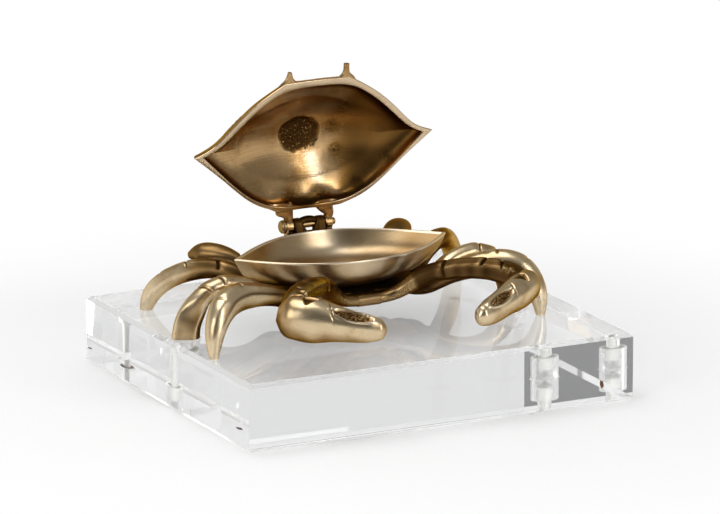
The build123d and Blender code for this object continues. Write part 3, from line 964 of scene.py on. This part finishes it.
outer_line = lid_outline(lid_tip, lid_side, lid_front_corner, lid_front_mid, lid_back, lid_back_corner)
inner_side = [(38.9, -33.9), (32.2, -39.5), (22.4, -48.1)]
inner_back = [(34.0, -21.4), (20.0, -10.8)]
inner_line = lid_outline((44.2, -31.3), inner_side, (12.6, -53.9), -54.3, inner_back, (11.7, -8.1))
away_from_tips = 1 - step(np.abs(inner_line[:, :1]), 26.0, 40.0)
inner_line = inner_line + away_from_tips * (softened(inner_line, 16) - inner_line)
crown = lid_rise - rim_radius
dome = spline(lid_levels + [(0.0, 1.01)], 80)[0]
outer_rows = [(max(s, 0.01), rim_low + rim_radius + h * crown) for s, h in dome[::-1]]
inner_scales = np.r_[dome[dome[:, 0] > 0.36, 0], np.linspace(0.36, 0.01, 80)]
inner_heights = np.interp(-inner_scales, -dome[:, 0], dome[:, 1])
inner_crown = crown - lid_wall
inner_rows = [(s, rim_low + rim_radius + h * inner_crown) for s, h in zip(inner_scales, inner_heights)]
rim = rim_rows(1.0, 1.0, rim_low, -rim_radius, rim_radius / lid_tip[0], 6)
half_rim = len(rim) // 2
outer_rings = lid_rings(outer_line, outer_rows + rim[:half_rim])
grid = np.concatenate([outer_rings, lid_rings(inner_line, rim[half_rim:] + inner_rows)])
outer_count, rim_count = len(outer_rows), len(outer_rows) + len(rim)
print("lid rings:", grid.shape[:2])

# %% Lid surface
row_index = np.arange(len(grid))[:, None]
everywhere = np.ones(grid.shape[:2])
inside = step(row_index, rim_count, rim_count + 4.0) * everywhere
on_rim = ((row_index >= outer_count - 1) & (row_index <= rim_count)) * everywhere
outside = (row_index < outer_count - 3) * everywhere
x, y = grid[..., 0], grid[..., 1]
from_middle = y - lid_centre
dimple_ring = np.hypot(0.8 * x, from_middle) + 0.5 * lumps(grid, 3.0)
dimple = (1 - step(dimple_ring, 5.4, 7.3)) * inside
rough = granules(grid, 0.8, dimple)
# Painted glints: paler points scattered in the dimple.
painted_glints = step(lumps(grid, 0.5), 0.3, 0.7) * dimple
grainy = step(lumps(grid, 16.0) + 0.35 * step(-y, 40.0, 56.0), -0.1, 0.35)
tubercles = granules(grid, 1.5, outside * grainy * (1 - step(np.abs(x), 32.0, 40.0)))
furrow = bell(np.abs(x) - 9.0 - 0.0125 * from_middle**2, 1.3)
furrow = furrow * (1 - step(np.abs(from_middle), 9.0, 13.0)) * outside
uneven = lumps(grid, 10.0)
lug_middle, lug_half = 7.9, 1.4
lug_lean = {-1: -3.2, 1: -1.8}
lug_roots = sum(bell(x - side * lug_middle - lug_lean[side], 4.0) for side in (-1, 1)) * step(y, -15.0, -8.3)
lug_roots = lug_roots * (1 - outside)
press = 1.1 * lug_roots * (1 - 0.75 * on_rim) - 0.6 * dimple + 0.15 * rough
press = press + 0.5 * tubercles - 0.6 * furrow + 0.14 * uneven * (1 - on_rim)
grid = grid + outward(grid) * press[..., None]
stains = [
    (12.6, -33.0, 2.6, 0.5), (14.2, -24.0, 2.4, 0.6),
    (-6.6, -9.8, 4.0, 0.8), (6.0, -9.6, 3.2, 0.8),
    (20.7, -12.6, 2.0, 0.8), (32.0, -22.0, 2.0, 0.4),
    (-38.0, -31.0, 4.0, 0.4),
]
speckle = 0.55 + 0.6 * lumps(grid, 0.8)
# Darker on the right half; paler at the upper left, a painted sheen where the mirrored room gives too little
# light.
dark_right_and_painted_sheen = 0.55 * step(x, 7.0, 20.0) - 0.65 * step(-y, 36.0, 45.0) * (1 - step(x, -6.0, 10.0))
# Painted highlight: a paler band low in the middle, where the front strip is mirrored.
painted_band_highlight = 0.55 * bell(x - 5.5, 4.5) * step(y, -27.0, -22.0) * (1 - step(y, -13.0, -9.0))
# Painted shade: darker along the hinge edge, where the gap under the hinge is in shadow.
hinge_gap_shade = 1.2 * bell(x + 2.0, 6.0) * step(y, -10.5, -8.5)
lid_wear_and_light = 0.5 * on_rim * (1 - lug_roots) + (0.2 * uneven - dark_right_and_painted_sheen + painted_band_highlight) * inside
lid_wear_and_light = lid_wear_and_light - dimple + painted_glints - hinge_gap_shade
lid_wear_and_light = lid_wear_and_light + outside * (0.1 + 0.5 * tubercles - 0.7 * furrow)
for stain_x, stain_y, size, amount in stains:
    lid_wear_and_light -= 1.5 * amount * bell(np.hypot(x - stain_x, y - stain_y), size) * speckle * inside
strokes = np.stack([x, y, np.zeros_like(x)], -1)
shell = skin("shell_lid_dome", open_lid(grid), lid_wear_and_light, strokes, lid_brass)
place_on(shell, "lid", "brass_lid", "shell_lid")

# %% [markdown]
# ## Spines, lugs and heels
# The spines flow out of the front edge with hollow curves, so they are short limbs with wide
# roots. The lugs do the same at the back, where they lean and widen from the hinge eyes into
# the dome's edge. The eyes are turned rings with a clear hole, because the pin has to turn in
# them, and a heel behind each eye stops the open lid.

# %% Spines and lugs
fine_gap, fine_around = 0.25, 40


def lid_limb(name, stations, square=2.0):
    """A short limb of the lid, with its far end polished pale by use."""
    limb = Limb(stations, (1.0, 0.0, 0.0), fine_gap, fine_around)
    points = limb.ring_points(0.0, square)
    worn_and_lit = 0.2 * lumps(points, 3.0) - 0.1 + 0.4 * step(limb.s, limb.along[-1] - 1.2, limb.along[-1])
    grid = open_lid(limb.ring_points(0.1 * lumps(points, 2.5), square))
    piece = skin(name, grid, worn_and_lit, limb.strokes(), lid_brass)
    place_on(piece, "lid", "brass_lid", "shell_lid")


def hinge_eye(name, middle, inner_radius, outer_radius, half, bevel=0.4):
    """A turned eye with bevelled corners and a clear hole. Half is half its width."""
    profile = [(inner_radius, -half), (outer_radius - bevel, -half), (outer_radius, bevel - half)]
    profile += [(outer_radius, half - bevel), (outer_radius - bevel, half), (inner_radius, half)]
    turns = np.linspace(0, 2 * np.pi, 48, endpoint=False)
    grid = np.array([[(middle + w, r * math.cos(t), r * math.sin(t)) for t in turns] for r, w in profile])
    grid = open_lid(grid)
    index = np.arange(grid.size // 3).reshape(grid.shape[:2])
    mesh = bpy.data.meshes.new(name)
    mesh.from_pydata((grid.reshape(-1, 3) * mm).tolist(), [], quads(np.vstack([index, index[:1]])))
    carry(mesh, np.zeros(index.size), grid)
    place_on(show(mesh, lid_brass, 40), "lid", "brass_lid", "shell_lid")


spine_shapes = {
    "left": [(-55.2, 4.4), (-56.5, 3.0), (-57.6, 1.8), (-58.9, 1.15), (-60.3, 0.75)],
    "right": [(-54.8, 4.2), (-56.4, 3.1), (-57.6, 1.7), (-58.8, 1.2), (-61.3, 1.05)],
}
for side, side_name in sides:
    spine_path = [(side * 11.4, y, -0.5, half_width, 0.95) for y, half_width in spine_shapes[side_name]]
    lid_limb(f"shell_spine_{side_name}", spine_path)
    lug_x = side * lug_middle
    lean = lug_lean[side]
    lug_path = [
        (lug_x, -1.9, -0.1, lug_half, 1.4),
        (lug_x + 0.3 * side, -3.8, 0.0, 1.9, 1.3),
        (lug_x + 0.35 * lean, -5.6, 0.0, 2.8, 1.25),
        (lug_x + 0.65 * lean, -7.0, 0.0, 3.7, 1.25),
        (lug_x + 0.85 * lean, -8.0, 0.4, 3.5, 0.9),
        (lug_x + lean, -8.8, 1.4, 2.2, 0.5),
    ]
    lid_limb(f"hinge_lug_{side_name}", lug_path, square=3.0)
    heel_path = [(lug_x, y, z, lug_half, 1.5) for y, z in ((1.0, -0.7), (3.4, -1.0), (5.7, -1.36))]
    lid_limb(f"stop_heel_{side_name}", heel_path, square=5.0)
    hinge_eye(f"hinge_eye_{side_name}", lug_x, 1.35, 2.7, lug_half)

# %% [markdown]
# ## Hinge saddle
# The fixed half of the hinge grows out of the bowl's rear wall: two ears hold the pin, and a low
# web joins them like a saddle. A box and two bored plates would be the quick way, but the casting
# flows. So it is a skin of sections along the hinge line, each a capsule that leans from the wall
# towards the pin, and its upper end rises from the web into the ears. A small arch over the pin
# joins the ears above the web.

# %% Hinge saddle
ear_face, saddle_end, saddle_around = 6.2, 10.0, 48
web_radius, ear_radius, bevel_size = 1.1, 2.7, 0.3
wall_foot, web_top, pad_top = np.array([(30.0, 45.0), (31.6, 48.4), (30.0, 47.0)])
pin_axis = np.array([hinge_y, hinge_z])
ear_places = np.linspace(1.0, ear_face, 30)
end_places = np.array([ear_face + 0.05, 6.4, 8.0, 9.7, saddle_end])
places = np.r_[-end_places[::-1], -ear_places[::-1], np.linspace(-0.8, 0.8, 9), ear_places, end_places]
turns = np.linspace(0, 2 * np.pi, saddle_around, endpoint=False)
way = np.stack([np.cos(turns), np.sin(turns)], -1)
rings_of_saddle = []
for place_x in places:
    rise_to_ear = step(abs(place_x), 1.0, 3.7)
    upper = web_top + (pin_axis - web_top) * rise_to_ear
    upper_radius = web_radius + (ear_radius - web_radius) * rise_to_ear
    if abs(place_x) > ear_face:
        upper, upper_radius = pad_top, web_radius
    bevel = bevel_size * step(abs(place_x), ear_face - 0.35, ear_face) * (abs(place_x) <= ear_face)
    bevel += bevel_size * step(abs(place_x), saddle_end - bevel_size, saddle_end)
    on_top = (way @ (upper - wall_foot) > 0)[:, None]
    ring_yz = np.where(on_top, upper + (upper_radius - bevel) * way, wall_foot + (web_radius - bevel) * way)
    rings_of_saddle.append(np.c_[np.full(saddle_around, mid_x + place_x), ring_yz])
grid = np.array(rings_of_saddle)
uneven = lumps(grid, 3.0)
# Painted shade: the saddle sits in the hinge gap, so it is darker overall and darker still towards its foot.
saddle_shade = 0.3 * uneven - 0.75 - 0.3 * (1 - step(grid[..., 2], 46.0, 50.5))
saddle = skin("hinge_saddle", grid, saddle_shade, grid, lid_brass)
place_on(saddle, "crab", "brass_hinge", "hinge_bracket")
bridge_rises = [(-4.8, 0.0), (-3.4, 0.9), (-1.6, 1.6), (0.0, 1.8), (1.6, 1.6), (3.4, 0.9), (4.8, 0.0)]
bridge_path = [(mid_x + x, hinge_y, hinge_z + rise, 1.5, 1.35) for x, rise in bridge_rises]
bridge_limb = Limb(bridge_path, (0.0, 1.0, 0.0), fine_gap, fine_around)
# Painted shade: the bridge is darkened too.
bridge_shade = 0.3 * lumps(bridge_limb.ring_points(), 2.0) - 0.9
bridge = skin("hinge_bridge", bridge_limb.ring_points(), bridge_shade, bridge_limb.strokes(), lid_brass)
place_on(bridge, "crab", "brass_hinge", "hinge_bracket")
